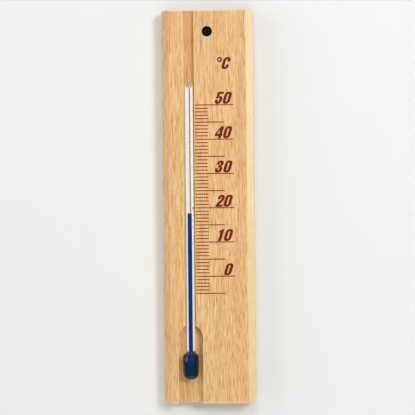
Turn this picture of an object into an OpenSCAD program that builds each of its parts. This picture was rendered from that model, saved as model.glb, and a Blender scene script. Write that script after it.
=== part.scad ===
// Wall thermometer: a beech board with a spirit-filled glass tube let into its face.
// The origin is where the axis of the hanging hole meets the back of the board.
// +X is to the reader's right, +Z is up, and the scale faces -Y. Sizes are in millimetres.
// The tube is measured down from the hanging hole, and the board is cut to suit the tube.

/* [Board] */
// Width of the board
board_w = 40; // [34:0.5:70]
// Thickness of the board
board_t = 10; // [8:0.5:20]
// Depth of the 45 degree chamfer along each long front edge
edge_chamfer = 3.2; // [0.5:0.1:4]
// Depth of the 45 degree chamfer across each end of the front face
end_chamfer = 0.4; // [0.2:0.1:1.5]
// Radius of the two lower corners, seen from the front
foot_corner_r = 1.5; // [0.5:0.1:4]
// Radius of the two upper corners, seen from the front
head_corner_r = 0.6; // [0.5:0.1:4]
// Wood below the bulb, down to the foot of the board
foot_margin = 10.5; // [4:0.1:30]

/* [Hanging hole] */
// Diameter of the hanging hole
hang_hole_d = 4.5; // [3:0.1:7]
// Wood above the axis of the hanging hole, up to the head of the board
hang_margin = 9.4; // [6:0.1:20]

/* [Groove and pocket] */
// Distance of the tube's axis to the left of the board's centre line
tube_offset = 8.2; // [7.5:0.1:10]
// Depth of the groove that the stem lies in
groove_depth = 2.5; // [2:0.1:4]
// Gap between the stem and each side of its groove
groove_gap = 0.5; // [0.1:0.05:1]
// Gap between the bulb and each side of its pocket
pocket_gap = 1.9; // [0.5:0.1:3]
// Gap between the bulb and the floor of its pocket
bulb_floor_gap = 0.3; // [0.1:0.05:1]
// Distance from the shoulder of the bulb up to the top of the pocket's arch
pocket_headroom = 12.3; // [6:0.1:20]

/* [Glass stem] */
// Distance from the hanging hole's axis down to the tip of the stem
hole_to_tip = 20.9; // [8:0.1:40]
// Outside diameter of the stem
stem_d = 3.8; // [3.7:0.1:5]
// Diameter of the bore
bore_d = 1.15; // [0.6:0.05:1.25]
// Solid glass above the expansion chamber
tip_wall = 1.3; // [0.8:0.1:3]
// Diameter of the expansion chamber at the head of the bore
chamber_d = 1.6; // [1.3:0.05:1.7]
// Length of the expansion chamber
chamber_l = 2.4; // [1.8:0.1:5]

/* [Glass bulb] */
// Outside diameter of the bulb
bulb_d = 6.8; // [5.4:0.1:9]
// Length of the bulb from its shoulder to its foot
bulb_l = 11.5; // [9:0.1:20]
// Length of the neck that joins the stem to the bulb's shoulder
neck_l = 0.9; // [0.9:0.1:4]
// Radius of the hollow where the neck runs into the shoulder
neck_r = 0.7; // [0.2:0.05:0.8]
// Radius of the bulb's shoulder
shoulder_r = 1.7; // [0.8:0.1:2.4]
// Radius of the bulb's foot
foot_r = 3; // [1.5:0.1:3.2]
// Thickness of the bulb's wall
bulb_wall = 0.45; // [0.3:0.05:0.7]

/* [Enamel strip] */
// Width of the white enamel strip
enamel_w = 1.55; // [1.2:0.05:2.8]
// Thickness of the enamel strip
enamel_t = 0.3; // [0.15:0.05:0.35]
// Glass between the expansion chamber and the enamel strip
enamel_cover = 0.1; // [0.05:0.05:0.2]
// Clear glass between the tip of the stem and the enamel strip
enamel_to_tip = 2.8; // [2:0.1:6]

/* [Spirit] */
// Temperature that the spirit shows, in degrees
reading = 18.4; // [-5:0.1:50]
// Clearance between the spirit and the glass
spirit_gap = 0.02; // [0.01:0.005:0.05]
// Length of the top stretch of spirit that carries the free surface
surface_l = 1; // [0.6:0.1:2]
// Depth of the hollow in the free surface
meniscus_depth = 0.15; // [0.05:0.01:0.2]

/* [Scale] */
// Distance between two neighbouring degrees
degree_pitch = 1.488; // [1:0.001:2.4]
// Lowest temperature on the scale
scale_min = -5; // [-30:5:-5]
// Highest temperature on the scale
scale_max = 50; // [50:5:60]
// Distance from the tip of the stem down to the highest mark
tip_to_scale = 11; // [7:0.1:20]
// Distance from the lowest mark down to the shoulder of the bulb
scale_to_bulb = 26.06; // [14:0.01:40]
// Length of the marks at single degrees
one_mark_l = 5.7; // [3:0.1:8]
// Length of the marks at fifth degrees
five_mark_l = 12.7; // [8:0.1:14]
// Length of the marks at tenth degrees
ten_mark_l = 16.8; // [14:0.1:18]
// Height of each printed mark
mark_h = 0.4; // [0.2:0.05:0.6]
// Bare wood between the groove and the marks
mark_inset = 0.25; // [0:0.05:0.5]
// Thickness of the printed ink
ink_t = 0.06; // [0.04:0.01:0.1]
// Temperature of the calibration mark on the glass
calibration_at = 20; // [-5:5:50]
// Width of the calibration mark, seen from the front
calibration_w = 0.6; // [0.3:0.05:1]

/* [Glue] */
// Thickness of the glue under the stem
glue_t = 0.25; // [0.1:0.05:0.4]
// Length of each dab of glue
glue_l = 9; // [4:0.5:14]
// Width of each dab of glue
glue_w = 3; // [2:0.1:3.4]
// Height that the glue climbs beside the stem
glue_rise = 0.6; // [0.2:0.05:0.8]
// Distance from the tip of the stem down to the upper dab
upper_glue_drop = 12; // [4:0.5:30]
// Distance from the top of the pocket's arch up to the lower dab
lower_glue_lift = 6; // [2:0.5:20]

/* [Hidden] */

$fn = 96;
// Overrun of a cutting shape past the surface that it opens
past = 1;
// Straight steps in each arc of the bulb's outline
arc_steps = 12;

face_y = -board_t;
stem_r = stem_d / 2;
bore_r = bore_d / 2;
bulb_r = bulb_d / 2;
chamber_r = chamber_d / 2;

// Heights down the tube
tip_z = -hole_to_tip;
scale_top_z = tip_z - tip_to_scale;
scale_foot_z = scale_top_z - (scale_max - scale_min) * degree_pitch;
shoulder_z = scale_foot_z - scale_to_bulb;
neck_z = shoulder_z + neck_l;
bulb_foot_z = shoulder_z - bulb_l;
reading_z = mark_z(reading);

// Heights of the board and its cuts
head_z = hang_margin;
foot_z = bulb_foot_z - foot_margin;
arch_z = shoulder_z + pocket_headroom;

// The tube's axis lies where the glue in the groove holds it
tube_x = -tube_offset;
groove_w = stem_d + 2 * groove_gap;
groove_floor_y = face_y + groove_depth;
tube_y = groove_floor_y - glue_t - stem_r;
pocket_r = bulb_r + pocket_gap;
pocket_floor_y = tube_y + bulb_r + bulb_floor_gap;

// A rounded corner leaves at least this much flat beside it
least_flat = 0.1;
foot_round_r = min(foot_r, bulb_r - least_flat);

// Hollow arc that blends the neck into the shoulder's round one: the distance between the
// two arcs' centres, how far out that reaches, the angle at which they meet, and the centre
blend_reach = shoulder_r + neck_r;
blend_out = max(0, stem_r + neck_r - (bulb_r - shoulder_r));
blend_angle = acos(blend_out / blend_reach);
blend_z = shoulder_z - shoulder_r + blend_reach * sin(blend_angle);

// Hollow of the bulb
cavity_r = bulb_r - bulb_wall;
cavity_top_z = shoulder_z - bulb_wall;
cavity_foot_z = bulb_foot_z + bulb_wall;

// Marks start beside the groove
marks_x = tube_x + groove_w / 2 + mark_inset;

beech = [0.89, 0.73, 0.52];
clear_glass = [0.86, 0.92, 0.93, 0.35];
white_enamel = [0.96, 0.95, 0.92];
blue_spirit = [0.06, 0.13, 0.47];
red_ink = [0.62, 0.22, 0.15];
amber_glue = [0.85, 0.78, 0.6];
black_ink = [0.15, 0.1, 0.1];

// Height of a temperature on the scale
function mark_z(t) = scale_top_z - (scale_max - t) * degree_pitch;

// Radius of the ball whose cap has this rim radius and this depth
function cap_ball_r(rim_r, depth) = (rim_r * rim_r + depth * depth) / (2 * depth);

// Points of an arc about [x, z], from one angle to another
function arc(x, z, r, from, to) = [
    for (i = [0 : arc_steps]) let (a = from + (to - from) * i / arc_steps) [x + r * cos(a), z + r * sin(a)]
];

// Right-hand side of a bottle-like outline, from its foot on the axis to the end of its shoulder's arc
function bottle_side(r, low, high, low_r, high_r, shoulder_angle) = concat(
    [[0, low]],
    arc(r - low_r, low + low_r, low_r, -90, 0),
    arc(r - high_r, high - high_r, high_r, 0, shoulder_angle)
);

// Carries a shape that is drawn about the Z axis over to the tube's axis
module on_tube() {
    translate([tube_x, tube_y, 0]) children();
}

// Turns an outline drawn in X and Z into a plate from y_front back to y_back
module plate(y_front, y_back) {
    translate([0, y_back, 0]) rotate([90, 0, 0]) linear_extrude(y_back - y_front) children();
}

// Rectangle with one radius at its two upper corners and another at its two lower ones
module two_radius_rectangle(half_w, low, high, low_r, high_r) {
    translate([-half_w, low + low_r]) square([2 * half_w, high - high_r - low - low_r]);
    translate([-half_w + low_r, low]) square([2 * (half_w - low_r), low_r + past]);
    translate([-half_w + high_r, high - high_r - past]) square([2 * (half_w - high_r), high_r + past]);
    for (side = [-1, 1]) {
        translate([side * (half_w - low_r), low + low_r]) circle(low_r);
        translate([side * (half_w - high_r), high - high_r]) circle(high_r);
    }
}

// Outline of the board from the front
module board_front() {
    two_radius_rectangle(board_w / 2, foot_z, head_z, foot_corner_r, head_corner_r);
}

// Section across the board, with both long front edges chamfered
module board_section() {
    half_w = board_w / 2;
    polygon([
        [-half_w, 0],
        [half_w, 0],
        [half_w, face_y + edge_chamfer],
        [half_w - edge_chamfer, face_y],
        [-half_w + edge_chamfer, face_y],
        [-half_w, face_y + edge_chamfer]
    ]);
}

// Section along the board, with both ends of the front face chamfered
module board_side() {
    polygon([
        [0, foot_z],
        [0, head_z],
        [face_y + end_chamfer, head_z],
        [face_y, head_z - end_chamfer],
        [face_y, foot_z + end_chamfer],
        [face_y + end_chamfer, foot_z]
    ]);
}

// Groove for the stem, open at the head of the board
module groove() {
    translate([tube_x - groove_w / 2, face_y - past, arch_z - pocket_r])
        cube([groove_w, groove_depth + past, head_z - arch_z + pocket_r + past]);
}

// Round-headed pocket for the bulb, open at the foot of the board
module pocket() {
    plate(face_y - past, pocket_floor_y) {
        translate([tube_x, arch_z - pocket_r]) circle(pocket_r);
        translate([tube_x - pocket_r, foot_z - past])
            square([2 * pocket_r, arch_z - pocket_r - foot_z + past]);
    }
}

module board() {
    color(beech) difference() {
        intersection() {
            plate(face_y, 0) board_front();
            translate([0, 0, foot_z - past]) linear_extrude(head_z - foot_z + 2 * past) board_section();
            translate([-board_w / 2 - past, 0, 0])
                rotate([90, 0, 90]) linear_extrude(board_w + 2 * past) board_side();
        }
        groove();
        pocket();
        translate([0, past, 0]) rotate([90, 0, 0]) cylinder(h = board_t + 2 * past, d = hang_hole_d);
    }
}

// Space in the back of the stem that the enamel strip fills
module enamel_shape() {
    translate([-enamel_w / 2, chamber_r + enamel_cover, neck_z])
        cube([enamel_w, enamel_t, tip_z - enamel_to_tip - neck_z]);
}

// Hollow of the stem: the bore, and the round-ended chamber that takes the spirit if it overheats
module stem_hollow() {
    chamber_high_z = tip_z - tip_wall - chamber_r;
    chamber_low_z = tip_z - tip_wall - chamber_l + chamber_r;
    translate([0, 0, neck_z - past]) cylinder(h = chamber_low_z - neck_z + past, r = bore_r);
    translate([0, 0, chamber_low_z]) cylinder(h = chamber_high_z - chamber_low_z, r = chamber_r);
    for (z = [chamber_low_z, chamber_high_z]) translate([0, 0, z]) sphere(chamber_r);
}

module glass_stem() {
    color(clear_glass) on_tube() difference() {
        union() {
            translate([0, 0, neck_z]) cylinder(h = tip_z - stem_r - neck_z, r = stem_r);
            translate([0, 0, tip_z - stem_r]) sphere(stem_r);
        }
        stem_hollow();
        enamel_shape();
    }
}

// Outline of the bulb's glass from its foot to the end of its neck
module bulb_outline() {
    polygon(concat(
        bottle_side(bulb_r, bulb_foot_z, shoulder_z, foot_round_r, shoulder_r, blend_angle),
        arc(stem_r + neck_r, blend_z, neck_r, 180 + blend_angle, 180),
        [[stem_r, neck_z], [0, neck_z]]
    ));
}

// Outline of the hollow in the bulb, with the bore that leads up out of it
module cavity_outline() {
    polygon(concat(
        bottle_side(
            cavity_r, cavity_foot_z, cavity_top_z, foot_round_r - bulb_wall, shoulder_r - bulb_wall, 90
        ),
        [[bore_r, cavity_top_z], [bore_r, neck_z + past], [0, neck_z + past]]
    ));
}

module glass_bulb() {
    color(clear_glass) on_tube() rotate_extrude() difference() {
        bulb_outline();
        cavity_outline();
    }
}

module enamel_strip() {
    color(white_enamel) on_tube() enamel_shape();
}

// Spirit that fills the bulb
module bulb_spirit() {
    low_r = foot_round_r - bulb_wall - spirit_gap;
    high_r = shoulder_r - bulb_wall - spirit_gap;
    low = cavity_foot_z + spirit_gap;
    high = cavity_top_z - spirit_gap;
    color(blue_spirit) on_tube() rotate_extrude()
        polygon(concat(bottle_side(cavity_r - spirit_gap, low, high, low_r, high_r, 90), [[0, high]]));
}

// Spirit in the bore, up to the stretch that carries the free surface
module spirit_column() {
    column_foot_z = cavity_top_z - spirit_gap;
    color(blue_spirit) on_tube() translate([0, 0, column_foot_z])
        cylinder(h = reading_z - surface_l - column_foot_z, r = bore_r - spirit_gap);
}

// Top stretch of the spirit, hollowed where it wets the glass
module spirit_surface() {
    rim_r = bore_r - spirit_gap;
    ball_r = cap_ball_r(rim_r, meniscus_depth);
    color(blue_spirit) on_tube() difference() {
        translate([0, 0, reading_z - surface_l]) cylinder(h = surface_l, r = rim_r);
        translate([0, 0, reading_z - meniscus_depth + ball_r]) sphere(ball_r);
    }
}

// Dab of glue on the groove's floor, hollowed by the stem that it carries
module glue_dab(foot) {
    color(amber_glue) difference() {
        translate([tube_x - glue_w / 2, groove_floor_y - glue_t - glue_rise, foot])
            cube([glue_w, glue_t + glue_rise, glue_l]);
        on_tube() translate([0, 0, foot - past]) cylinder(h = glue_l + 2 * past, r = stem_r);
    }
}

module upper_glue_dab() {
    glue_dab(tip_z - upper_glue_drop - glue_l);
}

module lower_glue_dab() {
    glue_dab(arch_z + lower_glue_lift);
}

// Printed marks at the given temperatures, centred on their heights
module marks(temperatures, length) {
    color(red_ink) for (t = temperatures)
        translate([marks_x, face_y - ink_t, mark_z(t) - mark_h / 2]) cube([length, ink_t, mark_h]);
}

module one_degree_marks() {
    marks([for (t = [scale_min : scale_max]) if (t % 5 != 0) t], one_mark_l);
}

module five_degree_marks() {
    marks([for (t = [scale_min : scale_max]) if (t % 5 == 0 && t % 10 != 0) t], five_mark_l);
}

module ten_degree_marks() {
    marks([for (t = [scale_min : scale_max]) if (t % 10 == 0) t], ten_mark_l);
}

// Ink line on the right-hand side of the glass, which lines the tube up with the scale
module calibration_mark() {
    color(black_ink) on_tube() intersection() {
        translate([0, 0, mark_z(calibration_at) - mark_h / 2]) difference() {
            cylinder(h = mark_h, r = stem_r + ink_t);
            translate([0, 0, -past]) cylinder(h = mark_h + 2 * past, r = stem_r);
        }
        translate([stem_r + ink_t - calibration_w, -stem_r - past, mark_z(calibration_at) - past])
            cube([calibration_w + past, stem_r + past, 2 * past]);
    }
}

board();
glass_stem();
glass_bulb();
enamel_strip();
spirit_column();
spirit_surface();
bulb_spirit();
upper_glue_dab();
lower_glue_dab();
one_degree_marks();
five_degree_marks();
ten_degree_marks();
calibration_mark();
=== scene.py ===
# %% [markdown]
# # A beech wall thermometer
# This lesson dresses a finished CAD model. The model already holds every solid at its real
# size: the board, the glass tube, the spirit inside it and the printed marks. What is left is
# what the eye sees, which is grain, lacquer, glass that bends the light, dyed spirit and
# printed figures. The scene has the same axes as the model: +X is to the reader's right, +Z is
# up, and the scale faces -Y. Blender works in metres and a maker of small things in
# millimetres, so the thermometer's sizes are written in millimetres and multiplied by MM. The
# room round it is far larger, and its wall, floor, lamps and cloth are written in metres.

from math import asin, copysign, cos, degrees, pi, radians, sin, tan

import bmesh
import bpy
from mathutils import Matrix, Vector


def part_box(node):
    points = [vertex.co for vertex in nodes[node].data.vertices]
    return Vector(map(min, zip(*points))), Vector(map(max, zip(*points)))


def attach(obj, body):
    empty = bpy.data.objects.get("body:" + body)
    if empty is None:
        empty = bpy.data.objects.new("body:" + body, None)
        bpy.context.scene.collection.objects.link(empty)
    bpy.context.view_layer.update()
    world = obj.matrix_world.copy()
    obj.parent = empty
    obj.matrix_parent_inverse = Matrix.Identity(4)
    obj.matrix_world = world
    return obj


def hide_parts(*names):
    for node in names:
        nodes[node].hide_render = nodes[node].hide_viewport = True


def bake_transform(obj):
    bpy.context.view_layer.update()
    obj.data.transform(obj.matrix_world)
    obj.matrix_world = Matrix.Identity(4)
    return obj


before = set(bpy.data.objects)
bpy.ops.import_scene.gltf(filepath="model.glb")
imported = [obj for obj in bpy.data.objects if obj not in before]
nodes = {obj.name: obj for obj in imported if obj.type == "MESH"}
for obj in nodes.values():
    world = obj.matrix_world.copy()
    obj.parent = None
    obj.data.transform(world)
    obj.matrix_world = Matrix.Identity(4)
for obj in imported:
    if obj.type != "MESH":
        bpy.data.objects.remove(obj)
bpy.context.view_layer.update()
scene = bpy.context.scene
MM = 0.001
print("solids:", ", ".join(sorted(nodes)))

# %% [markdown]
# ## Measuring the solids
# The looks have to sit on the solids exactly, so every place that can be read from them is
# read, not typed. A box gives the lowest and the highest corner of a solid.

# %% Read the places
face_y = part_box("board")[0].y
stem_low, stem_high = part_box("glass_stem")
bulb_low, bulb_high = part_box("glass_bulb")
tube_x = (stem_low.x + stem_high.x) / 2
tube_y = (stem_low.y + stem_high.y) / 2
stem_r = (stem_high.x - stem_low.x) / 2
bulb_r = (bulb_high.x - bulb_low.x) / 2
print(f"tube axis x {tube_x / MM:.2f} mm, y {tube_y / MM:.2f} mm, stem radius {stem_r / MM:.2f} mm")

# %% [markdown]
# ## Three small helpers
# A colour is easiest to read off a swatch as a hex value in sRGB, while a shader adds up light
# and needs linear numbers, so one function turns the first into the second. A material is a
# tree of nodes, and adding a node is always the same: make it, set it, and link what feeds it.
# Every material starts the same way too, with an empty tree and its output.


# %% Colour and node helpers
def colour(hex_value):
    """Linear red, green, blue and alpha of an sRGB hex colour."""
    parts = [int(hex_value[i : i + 2], 16) / 255 for i in (1, 3, 5)]
    return tuple(c / 12.92 if c < 0.04045 else ((c + 0.055) / 1.055) ** 2.4 for c in parts) + (1.0,)


def add(tree, kind, inputs=None, **settings):
    """Adds one node. An input given a socket is linked to it, and any other input is set."""
    node = tree.nodes.new(kind)
    for name, value in settings.items():
        setattr(node, name, value)
    for name, value in (inputs or {}).items():
        if isinstance(value, bpy.types.NodeSocket):
            tree.links.new(value, node.inputs[name])
        else:
            node.inputs[name].default_value = value
    return node


def new_material(name):
    """An empty material with its tree and its output node."""
    material = bpy.data.materials.new(name)
    material.use_nodes = True
    material.node_tree.nodes.clear()
    return material, material.node_tree, add(material.node_tree, "ShaderNodeOutputMaterial")


# %% [markdown]
# ## The camera
# The photograph is taken from straight ahead, a little to the right and a little above, with a
# long lens, since the board's long edges are all but parallel. The far edge of each chamfer
# tells how far to the right the camera stood. The picture also leans half a degree. A camera
# looks along its own -Z, so its matrix is built from three directions: right, up and back.

# %% Place the camera
AZIMUTH, ELEVATION, LEAN = radians(3.2), radians(1.0), radians(0.53)
DISTANCE = 681 * MM
LENS, FILM = 135, 36
aim = Vector((-0.65, -5.0, -76.5)) * MM

back = Vector((sin(AZIMUTH) * cos(ELEVATION), -cos(AZIMUTH) * cos(ELEVATION), sin(ELEVATION)))
level = Vector((cos(AZIMUTH), sin(AZIMUTH), 0))
rise = back.cross(level)
right = cos(LEAN) * level - sin(LEAN) * rise
up = sin(LEAN) * level + cos(LEAN) * rise
camera_data = bpy.data.cameras.new("camera")
camera_data.lens = LENS
camera_data.sensor_width = FILM
camera = bpy.data.objects.new("camera", camera_data)
scene.collection.objects.link(camera)
camera.matrix_world = Matrix.Translation(
    aim + back * DISTANCE
) @ Matrix((right, up, back)).transposed().to_4x4()
scene.camera = camera
scene.view_settings.view_transform = "Standard"
print(f"the frame is {DISTANCE * FILM / LENS / MM:.0f} mm wide at the board")

# %% [markdown]
# ## The wall and the floor
# A wall thermometer hangs flat on a wall, and the thin shadow round it is what tells the eye
# so. The wall is a pale plane just behind the board. It shows only from the front: seen from
# behind, and for light on its way to the board, it isn't there, so the back of the board can be
# looked at too. The hanging hole is dark in the photograph because next to no light reaches the
# wall behind it. A small disc of painted shade stands for that spot: it glows as dimly as that
# spot looks, whatever the lamps. A pale floor lies well below.


# %% Helpers for the stage
def flat_piece(name, corners, material):
    """A single flat face through the given corners."""
    mesh = bpy.data.meshes.new(name)
    mesh.from_pydata([tuple(c) for c in corners], [], [list(range(len(corners)))])
    mesh.materials.append(material)
    piece = bpy.data.objects.new(name, mesh)
    scene.collection.objects.link(piece)


def seen_rays(tree):
    """1 for the rays that the eye sees by: straight, off a mirror or through glass."""
    ray = add(tree, "ShaderNodeLightPath").outputs
    seen = add(
        tree, "ShaderNodeMath", {0: ray["Is Camera Ray"], 1: ray["Is Glossy Ray"]}, operation="MAXIMUM"
    ).outputs[0]
    return add(
        tree, "ShaderNodeMath", {0: seen, 1: ray["Is Transmission Ray"]}, operation="MAXIMUM"
    ).outputs[0]


def one_sided(name, paint, kind, sight_only):
    """Paint that shows from the front alone. With sight_only it also lets lamps through."""
    material, tree, out = new_material(name)
    side = add(tree, "ShaderNodeNewGeometry").outputs["Backfacing"]
    shows = add(tree, "ShaderNodeMath", {0: 1.0, 1: side}, operation="SUBTRACT").outputs[0]
    if sight_only:
        seen = seen_rays(tree)
        shows = add(tree, "ShaderNodeMath", {0: shows, 1: seen}, operation="MULTIPLY").outputs[0]
    clear = add(tree, "ShaderNodeBsdfTransparent").outputs[0]
    front = add(tree, "ShaderNode" + kind, {"Color": colour(paint)}).outputs[0]
    mix = add(tree, "ShaderNodeMixShader", {0: shows, 1: clear, 2: front})
    tree.links.new(mix.outputs[0], out.inputs["Surface"])
    return material


# %% Build the wall
WALL_REACH, WALL_FOOT_Z = 1.6, -0.30
WALL_Y, HOLE_SPOT_Y = 0.4 * MM, 0.2 * MM
HOLE_SPOT_R, HOLE_SPOT_CORNERS = 2.6 * MM, 32

wall_corners = [(-WALL_REACH, WALL_Y, WALL_FOOT_Z), (WALL_REACH, WALL_Y, WALL_FOOT_Z)]
wall_corners += [(WALL_REACH, WALL_Y, WALL_REACH), (-WALL_REACH, WALL_Y, WALL_REACH)]
flat_piece("wall", wall_corners, one_sided("wall_paint", "#E9EAEA", "BsdfDiffuse", True))
turn = [2 * pi * k / HOLE_SPOT_CORNERS for k in range(HOLE_SPOT_CORNERS)]
spot = [(HOLE_SPOT_R * cos(a), HOLE_SPOT_Y, HOLE_SPOT_R * sin(a)) for a in turn]
# Painted shade: a dim glowing disc stands for the dark wall seen through the hanging hole
flat_piece("painted_shade_behind_hole", spot, one_sided("painted_hole_shade", "#101D17", "Emission", False))
print(f"the wall stands {WALL_Y / MM:.1f} mm behind the board")

# %% [markdown]
# Far from the board the floor's paint gives way to the white of the background, so no horizon
# shows behind the board when it is seen from its back. The change goes by the distance from
# the board, which stays the same from every side.

# %% Lay the floor
FLOOR_REACH, FLOOR_Z = 9.0, WALL_FOOT_Z
FADE_FROM, FADE_TO = 0.5, 1.6
WHITE = (1.0, 1.0, 1.0, 1.0)
floor_corners = [(-FLOOR_REACH, -FLOOR_REACH, FLOOR_Z), (FLOOR_REACH, -FLOOR_REACH, FLOOR_Z)]
floor_corners += [(FLOOR_REACH, FLOOR_REACH, FLOOR_Z), (-FLOOR_REACH, FLOOR_REACH, FLOOR_Z)]
floor_paint, tree, out = new_material("floor_paint")
place = add(tree, "ShaderNodeTexCoord").outputs["Object"]
far = add(tree, "ShaderNodeVectorMath", {0: place, 1: (0, 0, -FLOOR_Z)}, operation="ADD").outputs[0]
far = add(tree, "ShaderNodeVectorMath", {0: far}, operation="LENGTH").outputs["Value"]
fade = add(
    tree,
    "ShaderNodeMapRange",
    {"Value": far, "From Min": FADE_FROM, "From Max": FADE_TO},
    interpolation_type="SMOOTHSTEP",
).outputs[0]
matt = add(tree, "ShaderNodeBsdfDiffuse", {"Color": colour("#E4E3E0")}).outputs[0]
glow = add(tree, "ShaderNodeEmission", {"Color": WHITE, "Strength": 1.0}).outputs[0]
white_far = add(tree, "ShaderNodeMath", {0: fade, 1: seen_rays(tree)}, operation="MULTIPLY").outputs[0]
floor_shader = add(tree, "ShaderNodeMixShader", {0: white_far, 1: matt, 2: glow})
tree.links.new(floor_shader.outputs[0], out.inputs["Surface"])
flat_piece("floor", floor_corners, floor_paint)

# %% [markdown]
# ## The light
# The photograph has its soft main light above, a weaker one on the left, and one from the
# right that draws the shadow of the groove's right wall. A small lamp stands almost in the
# plane of the board. It gives the pale sheen on the right chamfer and on every sanded edge that
# faces right, and next to nothing on the face. A lamp behind is there for the back.


# %% Light the board
def soft_lamp(name, direction, distance, width, height, watts, aim_at):
    """A rectangular lamp at a distance along a direction, turned to what it lights."""
    data = bpy.data.lights.new(name, "AREA")
    data.shape, data.size, data.size_y, data.energy = "RECTANGLE", width, height, watts
    lamp = bpy.data.objects.new(name, data)
    scene.collection.objects.link(lamp)
    way = Vector(direction).normalized()
    lamp.location = aim_at + way * distance
    lamp.rotation_euler = way.to_track_quat("Z", "Y").to_euler()
    return lamp


LAMPS = [
    # name, direction, then distance, width and height in metres, and watts
    ("top_lamp", (0.0, -0.80, 0.60), 1.2, 0.5, 0.5, 3.4),
    ("left_lamp", (-0.86, -0.46, 0.15), 1.4, 0.7, 1.6, 8.0),
    ("right_lamp", (0.47, -0.83, 0.30), 1.2, 0.35, 0.35, 6.4),
    ("edge_lamp", (1.0, -0.046, 0.15), 0.8, 0.06, 0.30, 0.7),
    ("back_lamp", (-0.40, 0.85, 0.35), 1.2, 0.8, 0.8, 9.0),
]
middle = Vector((0, -5, -76)) * MM
lamps = {row[0]: soft_lamp(*row, middle) for row in LAMPS}
# Its mirror image would draw a white line along the bulb's shoulder
lamps["top_lamp"].visible_glossy = False
print("lamps:", list(lamps))

# %% [markdown]
# The room round the board gives a weak light from all sides, which keeps the shadows open. It
# is lit far less than it looks: the eye sees it as plain white.

# %% Light the room
ROOM_LIGHT, ROOM_SEEN = 0.2, 1.0
world = bpy.data.worlds.new("soft_room")
scene.world = world
world.use_nodes = True
tree = world.node_tree
tree.nodes.clear()
room = add(tree, "ShaderNodeBackground", {"Color": WHITE, "Strength": ROOM_LIGHT}).outputs[0]
backdrop = add(tree, "ShaderNodeBackground", {"Color": WHITE, "Strength": ROOM_SEEN}).outputs[0]
sky = add(tree, "ShaderNodeMixShader", {0: seen_rays(tree), 1: room, 2: backdrop})
add(tree, "ShaderNodeOutputWorld", {"Surface": sky.outputs[0]})
print("the room lights the board at", ROOM_LIGHT)

# %% [markdown]
# Glass and dark spirit show the room in front of them. A white room would lay a milky veil over
# both, so whoever photographs glass hangs black cloth on the camera's side, lays it over the
# floor and lets it lean in overhead. It is one bent sheet here, farther off than the lamps, and
# only rays that come by way of a mirror or of glass see it.

# %% Hang the black cloth
# The sheet's bends from the floor up, as (distance from the board, height) in metres
CLOTH_LINE = [(0.12, -0.29), (1.7, -0.29), (1.7, 1.5), (0.7, 2.2)]
# The angles in degrees between which it goes round the front, and the steps it takes
CLOTH_FROM, CLOTH_TO, CLOTH_STEPS = -115, 100, 24
turn = [radians(CLOTH_FROM + (CLOTH_TO - CLOTH_FROM) * i / CLOTH_STEPS) for i in range(CLOTH_STEPS + 1)]
cloth_points = [(r * sin(a), -r * cos(a), z) for a in turn for r, z in CLOTH_LINE]
row = len(CLOTH_LINE)
cloth_faces = [
    (row * i + k, row * i + k + 1, row * i + row + k + 1, row * i + row + k)
    for i in range(CLOTH_STEPS)
    for k in range(row - 1)
]
cloth_mesh = bpy.data.meshes.new("black_cloth")
cloth_mesh.from_pydata(cloth_points, [], cloth_faces)
velvet, tree, out = new_material("black_velvet")
nap = add(tree, "ShaderNodeBsdfDiffuse", {"Color": colour("#0D0D0E")})
tree.links.new(nap.outputs[0], out.inputs["Surface"])
cloth_mesh.materials.append(velvet)
cloth = bpy.data.objects.new("black_cloth", cloth_mesh)
scene.collection.objects.link(cloth)
cloth.visible_camera = cloth.visible_diffuse = cloth.visible_shadow = False
print("black cloth:", len(cloth_faces), "faces")

# %% [markdown]
# ## Beech
# Beech is a pale, even wood with three marks of its own. Its growth rings are wide and soft,
# and on a flat-sawn face they show as broad bands, some pinkish and some straw. Its rays are
# thin ribbons of cells that run from the middle of the tree to the bark: on the face they show
# end on, as the short dark flecks that everyone knows beech by, and on the sides as wider
# patches. Its pores are fine, so between the flecks there are only hair-thin streaks.
# All of it is drawn in space, in millimetres and once for the whole board, so a fleck on the
# face runs into the wood and comes out on the chamfer, the end grain and the groove's wall.
# Each pattern is a noise stretched to the size of the thing it stands for: across the board,
# through it, and along the grain.

# %% Bend the grain
# The grain drifts sideways by a millimetre or two over each of these stretches
DRIFT_OVER_MM, DRIFT_MM = (60, 60, 70), (5.0, 5.0, 0.0)
beech, tree, out = new_material("lacquered_beech")
place = add(tree, "ShaderNodeTexCoord").outputs["Object"]
mm_place = add(tree, "ShaderNodeVectorMath", {0: place, "Scale": 1 / MM}, operation="SCALE").outputs[0]
shrink = tuple(1 / s for s in DRIFT_OVER_MM)
drift_place = add(tree, "ShaderNodeVectorMath", {0: mm_place, 1: shrink}, operation="MULTIPLY").outputs[0]
drift = add(tree, "ShaderNodeTexNoise", {"Vector": drift_place, "Scale": 1.0, "Detail": 1.0})
drift_mm = add(
    tree, "ShaderNodeVectorMath", {0: drift.outputs["Color"], 1: DRIFT_MM}, operation="MULTIPLY"
).outputs[0]
grain = add(tree, "ShaderNodeVectorMath", {0: mm_place, 1: drift_mm}, operation="ADD").outputs[0]
print("the grain drifts over stretches of", DRIFT_OVER_MM, "mm")

# %% [markdown]
# Broad bands, streaks, hairs and pores differ only in size, so one loop draws all four.

# %% Draw the bands, streaks, hairs and pores
# Sizes in mm: across the board, through it and along it, then how much fine detail each has
PATTERNS = {
    "band": ((6.5, 10.0, 150.0), 1.0),
    "streak": ((0.36, 0.8, 30.0), 2.0),
    "hair": ((0.14, 0.3, 7.0), 1.0),
    "pore": ((0.12, 0.2, 2.6), 1.0),
}
noise = {}
for name, (size, detail) in PATTERNS.items():
    shrink = tuple(1 / s for s in size)
    stretched = add(tree, "ShaderNodeVectorMath", {0: grain, 1: shrink}, operation="MULTIPLY").outputs[0]
    texture = add(tree, "ShaderNodeTexNoise", {"Vector": stretched, "Scale": 1.0, "Detail": detail})
    noise[name] = texture.outputs[0]
print("patterns:", ", ".join(noise))

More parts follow.
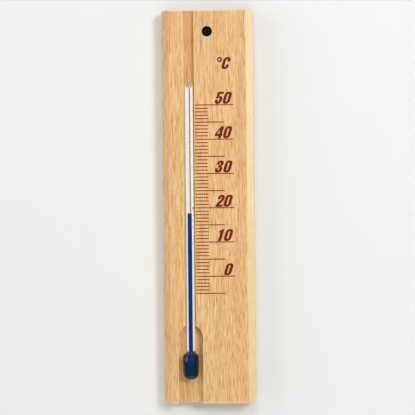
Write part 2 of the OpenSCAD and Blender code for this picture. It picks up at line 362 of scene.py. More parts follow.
# %% [markdown]
# Growth rings go by the distance from the middle of the tree, which was some 60 mm behind the
# board. A noise along that distance alone gives rings of uneven width.

# %% Draw the growth rings
PITH_MM = (-22.0, 58.0, 0.0)
RING_MM, RING_DETAIL = 2.6, 1.5
from_pith = add(tree, "ShaderNodeVectorMath", {0: grain, 1: PITH_MM}, operation="SUBTRACT").outputs[0]
flat = add(tree, "ShaderNodeVectorMath", {0: from_pith, 1: (1, 1, 0)}, operation="MULTIPLY").outputs[0]
radius = add(tree, "ShaderNodeVectorMath", {0: flat}, operation="LENGTH").outputs["Value"]
ring_at = add(tree, "ShaderNodeMath", {0: radius, 1: 1 / RING_MM}, operation="MULTIPLY").outputs[0]
ring = add(
    tree,
    "ShaderNodeTexNoise",
    {"W": ring_at, "Scale": 1.0, "Detail": RING_DETAIL},
    noise_dimensions="1D",
).outputs[0]
print(f"growth rings of {RING_MM} mm or so")

# %% [markdown]
# Each ray is a spindle. Small ones are up to 0.4 mm wide and 5 mm tall, and between them stand
# a few that are twice as tall. The cells of a stretched Voronoi texture give each spindle a
# place of its own, and the cell's random colour makes some rays darker than others.

# %% Draw the rays
# The size of a ray's cell in mm: across the board, through it and along it
RAYS = {"small ray": (0.48, 1.3, 6.5), "tall ray": (0.70, 2.0, 12.0)}
# How far from the middle of its cell a spindle is full, and where it ends
SPINDLE_FULL, SPINDLE_END = 0.16, 0.42
ray_mask = {}
for name, size in RAYS.items():
    shrink = tuple(1 / s for s in size)
    stretched = add(tree, "ShaderNodeVectorMath", {0: grain, 1: shrink}, operation="MULTIPLY").outputs[0]
    cell = add(tree, "ShaderNodeTexVoronoi", {"Vector": stretched, "Scale": 1.0, "Randomness": 1.0}).outputs
    spindle = add(
        tree,
        "ShaderNodeMapRange",
        {
            "Value": cell["Distance"],
            "From Min": SPINDLE_FULL,
            "From Max": SPINDLE_END,
            "To Min": 1.0,
            "To Max": 0.0,
        },
        interpolation_type="SMOOTHSTEP",
    ).outputs[0]
    tone = add(tree, "ShaderNodeSeparateColor", {0: cell["Color"]}).outputs[0]
    ray_mask[name] = add(tree, "ShaderNodeMath", {0: spindle, 1: tone}, operation="MULTIPLY").outputs[0]
print("rays:", ", ".join(ray_mask))

# %% [markdown]
# The patterns now tint the wood one after another, as washes of a darker or a paler brown.
# Each wash turns its pattern into a mask and mixes its own colour in by that.


# %% Colour the beech
# The colour sockets of a Mix node share their names with its number sockets, so they go by place
MIX_A, MIX_B, MIX_RESULT = 6, 7, 2


def washed(tree, wood, wash, slope):
    """The wood's colour with one more wash over it."""
    name, mask, start, full, strength, tint = wash
    amount = add(
        tree,
        "ShaderNodeMapRange",
        {"Value": mask, "From Min": start, "From Max": full, "To Min": 0.0, "To Max": strength},
        interpolation_type=slope,
        label=name,
    ).outputs[0]
    return add(
        tree, "ShaderNodeMix", {0: amount, MIX_A: wood, MIX_B: colour(tint)}, data_type="RGBA"
    ).outputs[MIX_RESULT]


STRAW = "#EAC188"
WASHES = [
    # what it is, its mask, where the mask starts and is full, strength, colour
    ("pink band", noise["band"], 0.40, 0.62, 1.0, "#E5B482"),
    ("growth ring", ring, 0.52, 0.70, 0.28, "#DBA768"),
    ("pale streak", noise["streak"], 0.54, 0.34, 0.35, "#F5D398"),
    ("dark streak", noise["streak"], 0.50, 0.70, 0.55, "#D29655"),
    ("pale hair", noise["hair"], 0.48, 0.30, 0.60, "#F8DDA8"),
    ("dark hair", noise["hair"], 0.52, 0.72, 0.95, "#C4823F"),
    ("small ray", ray_mask["small ray"], 0.38, 0.82, 0.80, "#B4692B"),
    ("tall ray", ray_mask["tall ray"], 0.60, 0.90, 0.55, "#B5662C"),
    ("pore", noise["pore"], 0.60, 0.74, 0.45, "#B47C46"),
]
wood = colour(STRAW)
for wash in WASHES:
    wood = washed(tree, wood, wash, "SMOOTHSTEP")
print("washes:", ", ".join(wash[0] for wash in WASHES))

# %% [markdown]
# Then come the washes that go by the place on the board. The right chamfer is washed paler and
# yellower as a painted highlight, for the light that falls on it from the right. The groove's
# floor is washed a little redder and darker as painted shade, and the bulb's pocket is not. The
# small chamfers at the head and the foot are washed pale as a painted highlight. The end grain
# drinks more lacquer and looks darker, and the wall of the hole is washed dark as painted shade.

# %% Find the places
# Half the width of the groove, and the height at which the bulb's pocket begins
GROOVE_HALF_MM, POCKET_TOP_MM = 2.45, -127.5
facing = add(tree, "ShaderNodeNewGeometry").outputs["True Normal"]
upward = add(tree, "ShaderNodeSeparateXYZ", {0: facing}).outputs["Z"]
upward = add(tree, "ShaderNodeMath", {0: upward}, operation="ABSOLUTE").outputs[0]
xyz = add(tree, "ShaderNodeSeparateXYZ", {0: mm_place}).outputs
hole_place = add(tree, "ShaderNodeCombineXYZ", {"X": xyz["X"], "Z": xyz["Z"]}).outputs[0]
hole_distance = add(tree, "ShaderNodeVectorMath", {0: hole_place}, operation="LENGTH").outputs["Value"]
# How deep a point lies below the face, inside the groove and above the pocket
beside_tube = add(tree, "ShaderNodeMath", {0: xyz["X"], 1: tube_x / MM}, operation="SUBTRACT").outputs[0]
in_groove = add(
    tree, "ShaderNodeMath", {0: beside_tube, 1: 0.0, 2: GROOVE_HALF_MM}, operation="COMPARE"
).outputs[0]
above_pocket = add(
    tree, "ShaderNodeMath", {0: xyz["Z"], 1: POCKET_TOP_MM}, operation="GREATER_THAN"
).outputs[0]
in_groove = add(tree, "ShaderNodeMath", {0: in_groove, 1: above_pocket}, operation="MULTIPLY").outputs[0]
below_face = add(tree, "ShaderNodeMath", {0: xyz["Y"], 1: face_y / MM}, operation="SUBTRACT").outputs[0]
cut_depth = add(tree, "ShaderNodeMath", {0: below_face, 1: in_groove}, operation="MULTIPLY").outputs[0]
print(f"the groove runs down to z {POCKET_TOP_MM:.1f} mm, where the pocket begins")

# %% Colour the places
PLACES = [
    # what it is, its measure, where the wash starts and is full, strength, colour
    # painted highlight: the right chamfer is washed paler for the light that falls on it from the right
    ("right chamfer highlight", xyz["X"], 16.65, 16.95, 0.66, "#F4DDA9"),
    # painted shade: the groove's floor is washed redder and darker
    ("groove floor shade", cut_depth, 0.4, 0.6, 0.22, "#CD8238"),
    # painted highlight along the small chamfers at the head and the foot
    ("end edge highlight", upward, 0.25, 0.45, 0.60, "#FBE3B0"),
    ("end grain", upward, 0.85, 0.95, 0.85, "#C08C54"),
    # painted shade: the wall of the hanging hole is washed dark
    ("hole wall shade", hole_distance, 2.38, 2.28, 0.92, "#3A2C1C"),
]
for wash in PLACES:
    wood = washed(tree, wood, wash, "LINEAR")
print("places:", ", ".join(wash[0] for wash in PLACES))

# %% [markdown]
# Sanding leaves the hard streaks a hair proud and the rays and pores a hair deep, and the thin
# lacquer follows them, so the bump is a few hundredths of a millimetre. Satin lacquer on wood
# has an index of about 1.5 and a roughness of about 0.3, a little more where the pores break it.

# %% Give the beech its surface
RELIEF, RELIEF_STRENGTH = 0.03 * MM, 0.35
LACQUER_INDEX = 1.5
# The lacquer's roughness where the wood is closed and where a pore breaks it
LACQUER_SMOOTH, LACQUER_BROKEN = 0.27, 0.38
dips = add(
    tree, "ShaderNodeMath", {0: noise["streak"], 1: ray_mask["small ray"]}, operation="ADD"
).outputs[0]
dips = add(tree, "ShaderNodeMath", {0: dips, 1: noise["pore"]}, operation="ADD").outputs[0]
relief = add(
    tree, "ShaderNodeBump", {"Height": dips, "Strength": RELIEF_STRENGTH, "Distance": RELIEF}, invert=True
).outputs[0]
gloss = add(
    tree,
    "ShaderNodeMapRange",
    {
        "Value": noise["pore"],
        "From Min": 0.4,
        "From Max": 0.8,
        "To Min": LACQUER_SMOOTH,
        "To Max": LACQUER_BROKEN,
    },
).outputs[0]
shader = add(
    tree,
    "ShaderNodeBsdfPrincipled",
    {"Base Color": wood, "Roughness": gloss, "IOR": LACQUER_INDEX, "Normal": relief},
)
tree.links.new(shader.outputs[0], out.inputs["Surface"])
print("beech:", len(tree.nodes), "shader nodes")

# %% [markdown]
# The rounded edges carry a painted highlight: they are washed pale, as a line where the light
# catches them. It is the same beech with one more wash over it. The blunt edges along the
# chamfers are nearer to flat and stay as they were.

# %% Paint the highlight on the rounded edges
# How far from the middle the edges are sharp enough to take the painted highlight, and how pale it makes
# them
HIGHLIGHT_HALF, HIGHLIGHT_PALENESS = 16 * MM, 0.62
highlit_edge_beech = beech.copy()
highlit_edge_beech.name = "beech_edge_painted_highlight"
tree = highlit_edge_beech.node_tree
shader = next(n for n in tree.nodes if n.type == "BSDF_PRINCIPLED")
wood = shader.inputs["Base Color"].links[0].from_socket
place = add(tree, "ShaderNodeTexCoord").outputs["Object"]
across = add(tree, "ShaderNodeSeparateXYZ", {0: place}).outputs["X"]
inside = add(tree, "ShaderNodeMath", {0: across, 1: 0.0, 2: HIGHLIGHT_HALF}, operation="COMPARE").outputs[0]
paler_share = add(tree, "ShaderNodeMath", {0: inside, 1: HIGHLIGHT_PALENESS}, operation="MULTIPLY").outputs[0]
# Painted highlight: the edges inside that reach are mixed towards a pale straw
pale = add(
    tree, "ShaderNodeMix", {0: paler_share, MIX_A: wood, MIX_B: colour("#FFE5AE")}, data_type="RGBA"
).outputs[MIX_RESULT]
tree.links.new(pale, shader.inputs["Base Color"])
print("sanded edges:", len(tree.nodes), "shader nodes")

# %% [markdown]
# ## The board
# The board is the CAD solid itself. A cutter leaves edges that are sharp, and sanding takes
# them off, so the edges get a small round. The solid's flat faces come as triangles: welding
# their corners and dissolving the flat ones leaves whole faces, on which a bevel runs clean.


# %% Soften the board's edges
def dress(name, *materials):
    """Gives a solid its materials in place of the one it came with."""
    slots = nodes[name].data.materials
    slots.clear()
    for material in materials:
        slots.append(material)


ARRIS_R = 0.27 * MM
# Points nearer to each other than this are one
SAME_POINT = 0.001 * MM
dress("board", beech, highlit_edge_beech)
board = nodes["board"]
weld = board.modifiers.new("join corners", "WELD")
weld.merge_threshold = SAME_POINT
dissolve = board.modifiers.new("whole faces", "DECIMATE")
dissolve.decimate_type = "DISSOLVE"
dissolve.angle_limit = radians(0.5)
bevel = board.modifiers.new("sanded edges", "BEVEL")
bevel.width, bevel.segments = ARRIS_R, 2
bevel.limit_method, bevel.angle_limit = "ANGLE", radians(30)
# The round gets the second material, the beech with the painted highlight
bevel.material = 1
normals = board.modifiers.new("flat faces stay flat", "WEIGHTED_NORMAL")
normals.keep_sharp = True
done = board.evaluated_get(bpy.context.evaluated_depsgraph_get()).to_mesh()
print("board:", len(done.vertices), "points,", len(done.polygons), "faces")

# %% [markdown]
# ## The glass tube
# The tube is one piece of glass on the real thing: thick capillary tubing, closed at the top
# with a flame, and a thin bulb blown at the foot. In the solids it is a stem and a bulb, and
# here one turned surface stands for both, because a join inside clear glass would show as a
# line. The glass bends the light as a real tube does, so the thread looks half as wide again
# as it is and the narrow white strip behind it all but fills the stem. The spirit fills the bulb
# and the bore, so they need no hollow. Above the spirit, an air gap so fine comes out of a
# render as noise, so the only hollow is the chamber at the tip. Its surface is closed and turns
# inward, which tells Cycles on which side of it the glass is.

# %% Draw the tube's outlines
CHAMBER_R, CHAMBER_L, TIP_WALL = 0.8 * MM, 2.4 * MM, 1.3 * MM
NECK_R, SHOULDER_R, FOOT_R = 0.7 * MM, 1.7 * MM, 3.0 * MM
SHOULDER_Z = -139.8 * MM
ARC_STEPS = 14


def arc(centre_r, centre_z, r, start, end):
    """Points along an arc, as (distance from the axis, height), between two angles in degrees."""
    angles = [radians(start + (end - start) * i / ARC_STEPS) for i in range(ARC_STEPS + 1)]
    return [(centre_r + r * cos(a), centre_z + r * sin(a)) for a in angles]


def bottle(r, foot_z, shoulder_z, foot_r, shoulder_r, last):
    """Outline of a bottle's side, from its foot up to an angle on its shoulder."""
    foot = arc(r - foot_r, foot_z + foot_r, foot_r, -90, 0)
    return [(0, foot_z)] + foot + arc(r - shoulder_r, shoulder_z - shoulder_r, shoulder_r, 0, last)


# Where the neck's hollow arc meets the shoulder's round one
reach = SHOULDER_R + NECK_R
out_by = stem_r + NECK_R - (bulb_r - SHOULDER_R)
meet = 90 - degrees(asin(out_by / reach))
neck_z = SHOULDER_Z - SHOULDER_R + reach * sin(radians(meet))
outside = bottle(bulb_r, bulb_low.z, SHOULDER_Z, FOOT_R, SHOULDER_R, meet)
outside += arc(stem_r + NECK_R, neck_z, NECK_R, 180 + meet, 180)[1:]
outside += arc(0, stem_high.z - stem_r, stem_r, 0, 90)

chamber_top = stem_high.z - TIP_WALL
hollow = arc(0, chamber_top - CHAMBER_L + CHAMBER_R, CHAMBER_R, -90, 0)
hollow += arc(0, chamber_top - CHAMBER_R, CHAMBER_R, 0, 90)
print("outline points: outside", len(outside), "hollow", len(hollow))


# %% Turn the tube
TURN_STEPS, THREAD_STEPS = 96, 48


def turned(name, outlines, material, steps=TURN_STEPS):
    """Turns outlines about the tube's axis. Each is (points, faces outward)."""
    mesh = bmesh.new()
    turn = [2 * pi * k / steps for k in range(steps)]
    for points, outward in outlines:
        rings = []
        for r, z in points:
            if r < SAME_POINT:
                rings.append([mesh.verts.new((tube_x, tube_y, z))])
            else:
                rings.append([mesh.verts.new((tube_x + r * cos(a), tube_y + r * sin(a), z)) for a in turn])
        for low, high in zip(rings, rings[1:]):
            for k in range(steps):
                n = (k + 1) % steps
                corners = [low[k % len(low)], low[n % len(low)], high[n % len(high)], high[k % len(high)]]
                corners = list(dict.fromkeys(corners))
                mesh.faces.new(corners if outward else corners[::-1])
    data = bpy.data.meshes.new(name)
    mesh.to_mesh(data)
    mesh.free()
    data.materials.append(material)
    data.shade_smooth()
    piece = bpy.data.objects.new(name, data)
    scene.collection.objects.link(piece)
    return piece


# %% [markdown]
# Drawn soda glass has an index of 1.52 and is as good as colourless at this thickness. Its skin
# was never touched by a tool while it was soft, so it is smooth, without bump or haze. Light
# reaches what is inside through a clear stand-in, whether it comes from a lamp or off the wood,
# since light bent by glass on its way takes far too long to find by chance.


# %% Make the glass
def lets_light_by(tree, out, shader, tint):
    """The shader for the eye, and a clear stand-in of the given tint for light."""
    clear = add(tree, "ShaderNodeBsdfTransparent", {"Color": tint}).outputs[0]
    ray = add(tree, "ShaderNodeLightPath").outputs
    light = add(
        tree, "ShaderNodeMath", {0: ray["Is Shadow Ray"], 1: ray["Is Diffuse Ray"]}, operation="MAXIMUM"
    ).outputs[0]
    both = add(tree, "ShaderNodeMixShader", {0: light, 1: shader.outputs[0], 2: clear})
    tree.links.new(both.outputs[0], out.inputs["Surface"])


SODA_GLASS = 1.52
drawn_glass, tree, out = new_material("drawn_glass")
glass = add(
    tree,
    "ShaderNodeBsdfPrincipled",
    {"Base Color": colour("#FBFDFC"), "Roughness": 0.0, "IOR": SODA_GLASS, "Transmission Weight": 1.0},
)
lets_light_by(tree, out, glass, colour("#F8FBFA"))

tube = turned("glass_tube", [(outside, True), (hollow, False)], drawn_glass)
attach(tube, "thermometer")
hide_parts("glass_stem", "glass_bulb")
print("tube:", len(tube.data.polygons), "faces")

# %% [markdown]
# ## The enamel strip
# The white behind the bore is a ribbon of opaque white glass, laid in the back of the tubing
# when it was drawn. It is the CAD solid, a warm white with long faint streaks from the drawing.
# It is fused to the clear glass, so there is no step in index between them and nothing gleams
# there: the index of its surface is 1.52 over 1.52, which is all but 1.
# Where the bore is empty, its right-hand wall mirrors the dark side of the groove and shows as a
# thin brown line up the stem. The line is painted on the strip here, where the thread hides it
# as far as the spirit reaches.

# %% Make the enamel
ENAMEL_IN_GLASS, ENAMEL_ROUGHNESS = 1.01, 0.25
STREAKS_PER_MM = (1.6, 1.6, 0.03)
# How far right of the tube's axis the line lies on the strip, and half its width. It is full up
# to 0.7 of that half width and gone at 1.3 of it
LINE_AT, LINE_HALF = 0.12 * MM, 0.12 * MM
enamel, tree, out = new_material("opal_enamel_glass")
place = add(tree, "ShaderNodeTexCoord").outputs["Object"]
streak_place = add(
    tree, "ShaderNodeVectorMath", {0: place, 1: tuple(n / MM for n in STREAKS_PER_MM)}, operation="MULTIPLY"
).outputs[0]
streak = add(tree, "ShaderNodeTexNoise", {"Vector": streak_place, "Scale": 1.0, "Detail": 1.0}).outputs[0]
white = add(
    tree, "ShaderNodeMix", {0: streak, MIX_A: colour("#F9F2EC"), MIX_B: colour("#F3EBE5")}, data_type="RGBA"
).outputs[MIX_RESULT]
across = add(tree, "ShaderNodeSeparateXYZ", {0: place}).outputs["X"]
across = add(tree, "ShaderNodeMath", {0: across, 1: tube_x + LINE_AT}, operation="SUBTRACT").outputs[0]
off_line = add(tree, "ShaderNodeMath", {0: across}, operation="ABSOLUTE").outputs[0]
bore_line = add(
    tree,
    "ShaderNodeMapRange",
    {
        "Value": off_line,
        "From Min": 0.7 * LINE_HALF,
        "From Max": 1.3 * LINE_HALF,
        "To Min": 1.0,
        "To Max": 0.0,
    },
).outputs[0]
lined = add(
    tree, "ShaderNodeMix", {0: bore_line, MIX_A: white, MIX_B: colour("#94704F")}, data_type="RGBA"
).outputs[MIX_RESULT]
shader = add(
    tree,
    "ShaderNodeBsdfPrincipled",
    {"Base Color": lined, "Roughness": ENAMEL_ROUGHNESS, "IOR": ENAMEL_IN_GLASS},
)
tree.links.new(shader.outputs[0], out.inputs["Surface"])
dress("enamel_strip", enamel)
print(f"the empty bore is a line {2 * LINE_HALF / MM:.2f} mm wide on the enamel")

# %% [markdown]
# ## The spirit
# The spirit is alcohol with a strong blue dye. In the bore it is a navy thread, and in the bulb,
# where the light has five times as far to go, it is nearly black with a touch of teal. A liquid
# wets its glass, so there is no air between them, and each piece here is a hair wider than its
# solid. Alcohol has an index of 1.36 and the glass over it 1.52, so the step between them is
# only 1.12. The pool is painted black where its surface turns away from the face and the back
# of the board, as painted shade for the dark rim the bulb shows there.

# %% Mix the dye
BORE_R, BULB_WALL = 0.575 * MM, 0.45 * MM
cavity_r, cavity_top = bulb_r - BULB_WALL, SHOULDER_Z - BULB_WALL
# The heights at which the pool's colour begins and is full, and at which it begins to deepen
# and is deepest
DEPTHS = [(cavity_top + 0.3 * MM, cavity_top - 0.7 * MM), (cavity_top - 3.0 * MM, cavity_top - 5.5 * MM)]
CLOUD_MM = 2.0
spirit, tree, out = new_material("dyed_spirit")
place = add(tree, "ShaderNodeTexCoord").outputs["Object"]
height = add(tree, "ShaderNodeSeparateXYZ", {0: place}).outputs["Z"]
in_bulb, deep = [
    add(
        tree,
        "ShaderNodeMapRange",
        {"Value": height, "From Min": begins, "From Max": full, "To Min": 0.0, "To Max": 1.0},
        interpolation_type="SMOOTHSTEP",
    ).outputs[0]
    for begins, full in DEPTHS
]
cloud_place = add(tree, "ShaderNodeVectorMath", {0: place, "Scale": 1 / (CLOUD_MM * MM)}, operation="SCALE")
cloud = add(
    tree, "ShaderNodeTexNoise", {"Vector": cloud_place.outputs[0], "Scale": 1.0, "Detail": 2.0}
).outputs[0]
thread_blue = add(
    tree, "ShaderNodeMix", {0: cloud, MIX_A: colour("#153A80"), MIX_B: colour("#122F78")}, data_type="RGBA"
).outputs[MIX_RESULT]
pool_blue = add(
    tree, "ShaderNodeMix", {0: cloud, MIX_A: colour("#0A2036"), MIX_B: colour("#143A4E")}, data_type="RGBA"
).outputs[MIX_RESULT]
pool_blue = add(
    tree, "ShaderNodeMix", {0: deep, MIX_A: colour("#172F5E"), MIX_B: pool_blue}, data_type="RGBA"
).outputs[MIX_RESULT]
print(f"the bulb's cavity is {2 * cavity_r / MM:.2f} mm wide, and the bore {2 * BORE_R / MM:.2f} mm")

# %% Paint shade on its flank
# How squarely the surface faces the front or the back where the painted shade begins and where it is full
FLANK_SHADE_BEGINS, FLANK_SHADE_FULL, FLANK_SHADE_STRENGTH = 0.88, 0.60, 0.97
normal = add(tree, "ShaderNodeNewGeometry").outputs["Normal"]
frontal = add(tree, "ShaderNodeSeparateXYZ", {0: normal}).outputs["Y"]
frontal = add(tree, "ShaderNodeMath", {0: frontal}, operation="ABSOLUTE").outputs[0]
flank_shade = add(
    tree,
    "ShaderNodeMapRange",
    {
        "Value": frontal,
        "From Min": FLANK_SHADE_BEGINS,
        "From Max": FLANK_SHADE_FULL,
        "To Min": 0.0,
        "To Max": FLANK_SHADE_STRENGTH,
    },
    interpolation_type="SMOOTHSTEP",
).outputs[0]
# Painted shade: the pool's flank is mixed towards near black
pool_blue = add(
    tree, "ShaderNodeMix", {0: flank_shade, MIX_A: pool_blue, MIX_B: colour("#04070A")}, data_type="RGBA"
).outputs[MIX_RESULT]
dye = add(
    tree, "ShaderNodeMix", {0: in_bulb, MIX_A: thread_blue, MIX_B: pool_blue}, data_type="RGBA"
).outputs[MIX_RESULT]
print(f"the flank is black where the normal's Y is under {FLANK_SHADE_FULL}")

# %% [markdown]
# The round glass throws light past the thread onto the white behind it, which a straight
# shadow would miss, so light goes through the thread and loses only a little to it. The pool
# stops all of it.

# %% Let light past the thread
SPIRIT_IN_GLASS, SPIRIT_ROUGHNESS = 1.12, 0.12
shader = add(
    tree,
    "ShaderNodeBsdfPrincipled",
    {"Base Color": dye, "Roughness": SPIRIT_ROUGHNESS, "IOR": SPIRIT_IN_GLASS},
)
lost = add(
    tree, "ShaderNodeMix", {0: in_bulb, MIX_A: colour("#F4F4F6"), MIX_B: colour("#000000")}, data_type="RGBA"
).outputs[MIX_RESULT]
lets_light_by(tree, out, shader, lost)
print("spirit:", len(tree.nodes), "shader nodes")

# %% [markdown]
# The pool has the outline of the bulb's cavity, from the same bottle as the glass, and comes
# from the same turning. It ends at the cavity's top, and the thread starts inside it.

# %% Fill the bulb
WETTING = 0.03 * MM
pool_line = bottle(
    cavity_r + WETTING,
    bulb_low.z + BULB_WALL - WETTING,
    cavity_top + WETTING,
    FOOT_R - BULB_WALL + WETTING,
    SHOULDER_R - BULB_WALL + WETTING,
    90,
)
pool = turned("spirit_pool", [(pool_line + [(0, cavity_top + WETTING)], True)], spirit)
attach(pool, "thermometer")
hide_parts("bulb_spirit")
print("pool:", len(pool.data.polygons), "faces")

# %% [markdown]
# The thread joins the bulb to the free surface; on the real thermometer it stretches when that
# rises. The free surface is a shallow dish, because spirit climbs a little where it wets the glass.

# %% Fill the bore
MENISCUS = 0.15 * MM
THREAD_RINGS = 24
surface_low, surface_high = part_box("spirit_surface")
column_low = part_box("spirit_column")[0]
thread_r = BORE_R + WETTING
thread_l = surface_low.z - column_low.z
heights = [column_low.z + thread_l * i / THREAD_RINGS for i in range(THREAD_RINGS + 1)]
thread_line = [(0, heights[0])] + [(thread_r, z) for z in heights] + [(0, heights[-1])]
thread = turned("spirit_thread", [(thread_line, True)], spirit, THREAD_STEPS)
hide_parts("spirit_column")
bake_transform(thread)

dish_r = (thread_r**2 + MENISCUS**2) / (2 * MENISCUS)
rim = degrees(asin(thread_r / dish_r))
dish = arc(0, surface_high.z - MENISCUS + dish_r, dish_r, rim - 90, -90)
top_line = [(0, surface_low.z), (thread_r, surface_low.z)] + dish
top = turned("spirit_free_surface", [(top_line, True)], spirit, THREAD_STEPS)
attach(top, "spirit_top")
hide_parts("spirit_surface")
print(f"the spirit stands at z {surface_high.z / MM:.2f} mm")

# %% [markdown]
# ## The glue
# Two dabs of clear glue hold the stem in its groove. They are hidden from the front, and show
# as a soft amber gleam when the eye looks along the groove.

# %% Make the glue
GLUE_INDEX, GLUE_CLEAR, GLUE_ROUGHNESS = 1.48, 0.2, 0.22
LUMPS_PER_MM, LUMP_HEIGHT = 0.9, 0.1 * MM
glue, tree, out = new_material("set_clear_glue")
place = add(tree, "ShaderNodeTexCoord").outputs["Object"]
lump_place = add(tree, "ShaderNodeVectorMath", {0: place, "Scale": LUMPS_PER_MM / MM}, operation="SCALE")
lumps = add(
    tree, "ShaderNodeTexNoise", {"Vector": lump_place.outputs[0], "Scale": 1.0, "Detail": 2.0}
).outputs[0]
amber = add(
    tree, "ShaderNodeMix", {0: lumps, MIX_A: colour("#F6CF94"), MIX_B: colour("#E2AC66")}, data_type="RGBA"
).outputs[MIX_RESULT]
swell = add(tree, "ShaderNodeBump", {"Height": lumps, "Strength": 0.5, "Distance": LUMP_HEIGHT})
shader = add(
    tree,
    "ShaderNodeBsdfPrincipled",
    {
        "Base Color": amber,
        "Roughness": GLUE_ROUGHNESS,
        "IOR": GLUE_INDEX,
        "Transmission Weight": GLUE_CLEAR,
        "Normal": swell.outputs[0],
    },
)
tree.links.new(shader.outputs[0], out.inputs["Surface"])
for name in ("upper_glue_dab", "lower_glue_dab"):
    dress(name, glue)
print("glue:", len(tree.nodes), "shader nodes")

# %% [markdown]
# ## The printed scale
# The scale is screen printed in a dark red ink over the lacquer. Such ink is matt and covers
# well, but it is thin: where the mesh lifted off a proud streak of grain, the wood warms it
# through. So its colour follows a fine streaky noise, about as long as the wood's pores. A fine
# line lets less ink through the screen than a broad figure, so the marks are a lighter red. The
# mark on the glass is a black ink that was fired on.

# %% Make the inks
SPOTS_PER_MM, INK_RELIEF = (2.2, 2.2, 0.5), 0.01 * MM
INK_INDEX, INK_ROUGHNESS = 1.3, 0.7


def printed_ink(name, full, thin):
    """Thin screen ink that covers a little less along the grain."""
    material, tree, out = new_material(name)
    place = add(tree, "ShaderNodeTexCoord").outputs["Object"]
    shrink = tuple(n / MM for n in SPOTS_PER_MM)
    spot_place = add(tree, "ShaderNodeVectorMath", {0: place, 1: shrink}, operation="MULTIPLY").outputs[0]
    spots = add(tree, "ShaderNodeTexNoise", {"Vector": spot_place, "Scale": 1.0, "Detail": 2.0}).outputs[0]
    paler_share = add(
        tree,
        "ShaderNodeMapRange",
        {"Value": spots, "From Min": 0.48, "From Max": 0.75, "To Min": 0.0, "To Max": 1.0},
    ).outputs[0]
    tint = add(
        tree, "ShaderNodeMix", {0: paler_share, MIX_A: colour(full), MIX_B: colour(thin)}, data_type="RGBA"
    ).outputs[MIX_RESULT]
    skin = add(tree, "ShaderNodeBump", {"Height": spots, "Strength": 0.3, "Distance": INK_RELIEF}).outputs[0]
    shader = add(
        tree,
        "ShaderNodeBsdfPrincipled",
        {"Base Color": tint, "Roughness": INK_ROUGHNESS, "IOR": INK_INDEX, "Normal": skin},
    )
    tree.links.new(shader.outputs[0], out.inputs["Surface"])
    return material


red_ink = printed_ink("dark_red_screen_ink", "#6E1807", "#852C11")
fine_red_ink = printed_ink("fine_line_red_screen_ink", "#8A0E00", "#A02408")
black_ink = printed_ink("fired_black_ink", "#0C0808", "#1E1512")
for name in ("one_degree_marks", "five_degree_marks", "ten_degree_marks"):
    dress(name, fine_red_ink)
dress("calibration_mark", black_ink)
print("inks:", red_ink.name, fine_red_ink.name, black_ink.name)

# %% [markdown]
# ## The figures
# The figures are a bold, narrow, slanted grotesque, the plain lettering of instrument dials.
# Blender's own font is too light and too round for it, so each figure is drawn here as an
# outline, on a body 100 units tall and about 60 wide with an upright stroke of 24. Flattened
# circles make the round parts, and a slant is a shear: each point moves right as it goes up.

# %% Bend the round parts
# The height of the body in its own units
BODY = 100
CURVE_STEPS = 12
# 1 would be an ellipse, and less is squarer
SQUARE = 0.88


def bend(x, y, rx, ry, start, end, power=SQUARE):
    """Points along part of a flattened circle, between two angles in degrees."""
    points = []
    for i in range(CURVE_STEPS + 1):
        a = radians(start + (end - start) * i / CURVE_STEPS)
        c, s = round(cos(a), 9), round(sin(a), 9)
        points.append((x + rx * copysign(abs(c) ** power, c), y + ry * copysign(abs(s) ** power, s)))
    return points


# %% Draw the figures
outer = bend(30, 70, 30, 30, 0, 180) + bend(30, 30, 30, 30, 180, 360)
FIGURES = {
    "0": [outer, bend(30, 71, 6.5, 12, 0, 180) + bend(30, 29, 6.5, 12, 180, 360)],
    "1": [[(12, 0), (37, 0), (37, 100), (22, 100), (19, 92), (0, 85), (0, 68), (12, 72)]],
    "2": [
        [(0, 0), (54, 0), (54, 18), (25, 18), (45, 44), (53, 58)]
        + bend(27.5, 70.5, 27.5, 29.5, 0, 180)
        + [(0, 64), (22, 64)]
        + bend(27.5, 71, 5.5, 12, 180, 0)
        + [(32, 64), (3, 27), (0, 15)]
    ],
    "3": [
        bend(28, 72, 28, 28, 180, 0)
        + [(56, 66), (50, 57), (41, 52), (52, 46), (57, 36)]
        + bend(28.5, 29.5, 28.5, 29.5, 0, -180)
        + [(0, 35), (23, 35)]
        + bend(28.5, 28, 5.5, 11, 180, 360)
        + [(34, 37), (30, 43.5), (18, 44.5), (18, 60), (28, 60), (32.5, 65.5)]
        + bend(28, 73, 5, 10, 0, 180)
        + [(23, 66), (0, 66)]
    ],
    "4": [
        [
            (31, 0),
            (54, 0),
            (54, 19),
            (61, 19),
            (61, 36),
            (54, 36),
            (54, 100),
            (32, 100),
            (-2, 38),
            (-2, 19),
            (31, 19),
        ],
        [(31, 36), (31, 71), (12, 36)],
    ],
    "5": [
        [(5, 100), (54, 100), (54, 82), (25, 82), (23, 62)]
        + bend(32, 37, 24, 28, 125, 0)
        + bend(28, 29.5, 28, 29.5, 0, -180)
        + [(0, 35), (23, 35)]
        + bend(28, 28, 5.5, 11, 180, 360)
        + bend(28, 40, 5.5, 9, 0, 140)
        + [(2, 44)]
    ],
    "C": [
        outer
        + [(60, 38), (36.5, 38)]
        + bend(30, 29, 6.5, 12, 360, 180)
        + bend(30, 71, 6.5, 12, 180, 0)
        + [(36.5, 62), (60, 62)]
    ],
    "ring": [bend(16, 16, 16, 17, 0, 350, 1), bend(16, 16, 6, 7, 0, 350, 1)],
}
# How far each figure's left side stands before the left side of the 0 after it
ADVANCE = {"1": 55, "2": 61, "3": 69, "4": 67, "5": 65}
print("figures drawn:", ", ".join(FIGURES))

# %% [markdown]
# A flat curve fills itself between its outlines, so the hole of a 0 stays open, and a little
# depth makes it a skin of ink as thick as the marks.

# %% Measure the print
FIGURE_H = 5.25 * MM
SLANT = tan(radians(17.4))
LIFT = 0.56 * MM
NOUGHT_LEFT = 6.25 * MM
INK_T = 0.06 * MM
SAME_INK_POINT = 0.0005 * MM
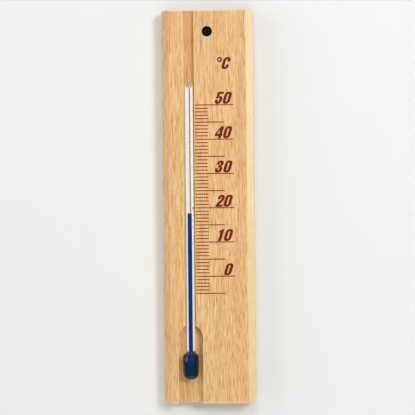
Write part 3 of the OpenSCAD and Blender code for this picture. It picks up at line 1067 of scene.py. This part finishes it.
# The lowest ten-degree mark is the 0, and the lowest five-degree mark is the -5
ten_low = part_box("ten_degree_marks")[0]
five_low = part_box("five_degree_marks")[0]
pitch = (ten_low.z - five_low.z) / 5
print(f"one degree is {pitch / MM:.3f} mm of the scale")


# %% Print on the board
def print_outlines(name, placed):
    """One thin mesh on the board's face from glyphs placed as (glyph, x, z, height of the body)."""
    curve = bpy.data.curves.new(name, "CURVE")
    curve.dimensions, curve.fill_mode, curve.extrude = "2D", "BOTH", INK_T / 2
    for glyph, x, z, height in placed:
        unit = height / BODY
        slant = 0 if glyph == "ring" else SLANT
        for outline in FIGURES[glyph]:
            points = list(dict.fromkeys((round(a, 3), round(b, 3)) for a, b in outline))
            spline = curve.splines.new("POLY")
            spline.points.add(len(points) - 1)
            for point, (a, b) in zip(spline.points, points):
                point.co = (x + (a + b * slant) * unit, z + b * unit, 0, 1)
            spline.use_cyclic_u = True
    drawn = bpy.data.objects.new(name + "_outline", curve)
    scene.collection.objects.link(drawn)
    mesh = bpy.data.meshes.new_from_object(drawn.evaluated_get(bpy.context.evaluated_depsgraph_get()))
    bpy.data.objects.remove(drawn)
    # The curve lies in XY, and the board's face stands in XZ, turned to -Y
    mesh.transform(Matrix.Translation((0, face_y - INK_T / 2, 0)) @ Matrix.Rotation(radians(90), 4, "X"))
    tidy = bmesh.new()
    tidy.from_mesh(mesh)
    bmesh.ops.remove_doubles(tidy, verts=tidy.verts, dist=SAME_INK_POINT)
    bmesh.ops.recalc_face_normals(tidy, faces=tidy.faces)
    tidy.to_mesh(mesh)
    open_edges = sum(not e.is_manifold for e in tidy.edges)
    tidy.free()
    mesh.name = name
    mesh.materials.clear()
    mesh.materials.append(red_ink)
    piece = bpy.data.objects.new(name, mesh)
    scene.collection.objects.link(piece)
    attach(piece, "thermometer")
    print(name, len(mesh.polygons), "faces,", open_edges, "open edges")

# %% [markdown]
# Each tenth degree carries its number just above it, and the noughts stand exactly under each
# other. The degree sign and its C stand above the scale.

# %% Print the figures
placed = []
for tens in range(6):
    z = ten_low.z + tens * 10 * pitch + LIFT
    placed.append(("0", NOUGHT_LEFT, z, FIGURE_H))
    if tens:
        placed.append((str(tens), NOUGHT_LEFT - ADVANCE[str(tens)] * FIGURE_H / BODY, z, FIGURE_H))
print_outlines("scale_figures", placed)

RING_LEFT, RING_FOOT, RING_H = 4.28 * MM, -13.38 * MM, 6.8 * MM
LETTER_LEFT, LETTER_FOOT, LETTER_H = 5.86 * MM, -16.44 * MM, 5.2 * MM
sign = [("ring", RING_LEFT, RING_FOOT, RING_H), ("C", LETTER_LEFT, LETTER_FOOT, LETTER_H)]
print_outlines("celsius_sign", sign)
